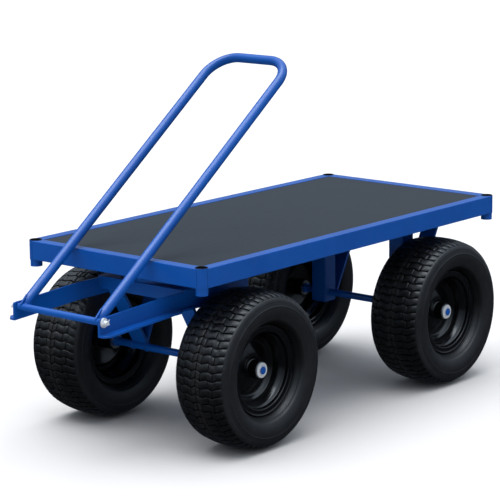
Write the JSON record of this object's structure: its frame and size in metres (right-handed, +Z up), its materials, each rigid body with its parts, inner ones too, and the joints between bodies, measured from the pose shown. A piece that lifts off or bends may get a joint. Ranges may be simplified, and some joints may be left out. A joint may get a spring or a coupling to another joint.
{
  "type": "platform trolley",
  "caption": "Flat-deck turntable trolley: tube-frame platform on pneumatic-tyred wheels, steered by a ball-race bogie with a folding loop pull handle and corner stanchion sockets.",
  "frame": {"origin": "on the floor under the centre of the overall box, handle parked", "axes": "+X forward to the pull handle, +Y to the trolley's left, +Z up"},
  "size_m": [1.451, 0.6664, 0.9424],
  "materials": {
    "blue_powder_coat": "gloss powder coat, light orange peel",
    "black_rim_enamel": "gloss black enamel",
    "deck_board_phenolic": "matt dark grey anti-slip film on plywood",
    "black_plastic": "matt black moulded plastic",
    "zinc_plate": "bright zinc plate",
    "bearing_steel": "ground bearing steel",
    "tyre_rubber": "matt black rubber",
    "tube_rubber": "satin black butyl"
  },
  "bodies": {
    "chassis": {"cross_member_behind_turntable": "blue_powder_coat", "cross_member_front": "blue_powder_coat", "cross_member_middle": "blue_powder_coat", "cross_member_rear": "blue_powder_coat", "cross_member_rear_axle": "blue_powder_coat", "deck_board": "deck_board_phenolic", "deck_screws": "zinc_plate", "front_rail": "blue_powder_coat", "king_bolt": "zinc_plate", "king_bolt_nut": "zinc_plate", "king_bolt_washer": "zinc_plate", "left_rail": "blue_powder_coat", "rear_axle": "blue_powder_coat", "rear_axle_retaining_rings": "zinc_plate", "rear_axle_washers": "zinc_plate", "rear_brace_left": "blue_powder_coat", "rear_brace_right": "blue_powder_coat", "rear_leg_left": "blue_powder_coat", "rear_leg_right": "blue_powder_coat", "rear_rail": "blue_powder_coat", "right_rail": "blue_powder_coat", "socket_liners": "black_plastic", "stanchion_sockets": "blue_powder_coat", "turntable_bolts": "zinc_plate", "turntable_top_plate": "blue_powder_coat", "turntable_upper_ring": "blue_powder_coat"},
    "bogie": {"drawbar_left": "blue_powder_coat", "drawbar_right": "blue_powder_coat", "bogie_cross_front": "blue_powder_coat", "bogie_cross_rear": "blue_powder_coat", "turntable_bottom_plate": "blue_powder_coat", "turntable_lower_ring": "blue_powder_coat", "turntable_balls": "bearing_steel", "front_hanger_left": "blue_powder_coat", "front_hanger_right": "blue_powder_coat", "front_axle": "blue_powder_coat", "front_axle_washers": "zinc_plate", "front_axle_retaining_rings": "zinc_plate", "handle_pivot_rod": "zinc_plate", "handle_pivot_washers": "zinc_plate", "handle_pivot_split_pins": "zinc_plate"},
    "handle": {"handle_loop": "blue_powder_coat", "handle_crossbar": "blue_powder_coat", "handle_gussets": "blue_powder_coat"},
    "wheel_front_left": {"tyre_front_left": "tyre_rubber", "inner_tube_front_left": "tube_rubber", "rim_front_left": "black_rim_enamel", "bearings_front_left": "bearing_steel"},
    "wheel_front_right": {"tyre_front_right": "tyre_rubber", "inner_tube_front_right": "tube_rubber", "rim_front_right": "black_rim_enamel", "bearings_front_right": "bearing_steel"},
    "wheel_rear_left": {"tyre_rear_left": "tyre_rubber", "inner_tube_rear_left": "tube_rubber", "rim_rear_left": "black_rim_enamel", "bearings_rear_left": "bearing_steel"},
    "wheel_rear_right": {"tyre_rear_right": "tyre_rubber", "inner_tube_rear_right": "tube_rubber", "rim_rear_right": "black_rim_enamel", "bearings_rear_right": "bearing_steel"}
  },
  "joints": [
    {"name": "bogie_steer", "type": "hinge", "parent": "chassis", "child": "bogie", "pos_m": [0.2995, 0, 0.429], "axis": [0, 0, 1], "range_deg": [-2.5, 2.5]},
    {"name": "handle_pivot", "type": "hinge", "parent": "bogie", "child": "handle", "pos_m": [0.7108, 0, 0.3817], "axis": [0, 1, 0], "range_deg": [0, 166]},
    {"name": "wheel_front_left_spin", "type": "hinge", "parent": "bogie", "child": "wheel_front_left", "pos_m": [0.2995, 0.25, 0.2025], "axis": [0, 1, 0], "continuous": true},
    {"name": "wheel_front_right_spin", "type": "hinge", "parent": "bogie", "child": "wheel_front_right", "pos_m": [0.2995, -0.25, 0.2025], "axis": [0, 1, 0], "continuous": true},
    {"name": "wheel_rear_left_spin", "type": "hinge", "parent": "chassis", "child": "wheel_rear_left", "pos_m": [-0.5005, 0.25, 0.2025], "axis": [0, 1, 0], "continuous": true},
    {"name": "wheel_rear_right_spin", "type": "hinge", "parent": "chassis", "child": "wheel_rear_right", "pos_m": [-0.5005, -0.25, 0.2025], "axis": [0, 1, 0], "continuous": true}
  ]
}
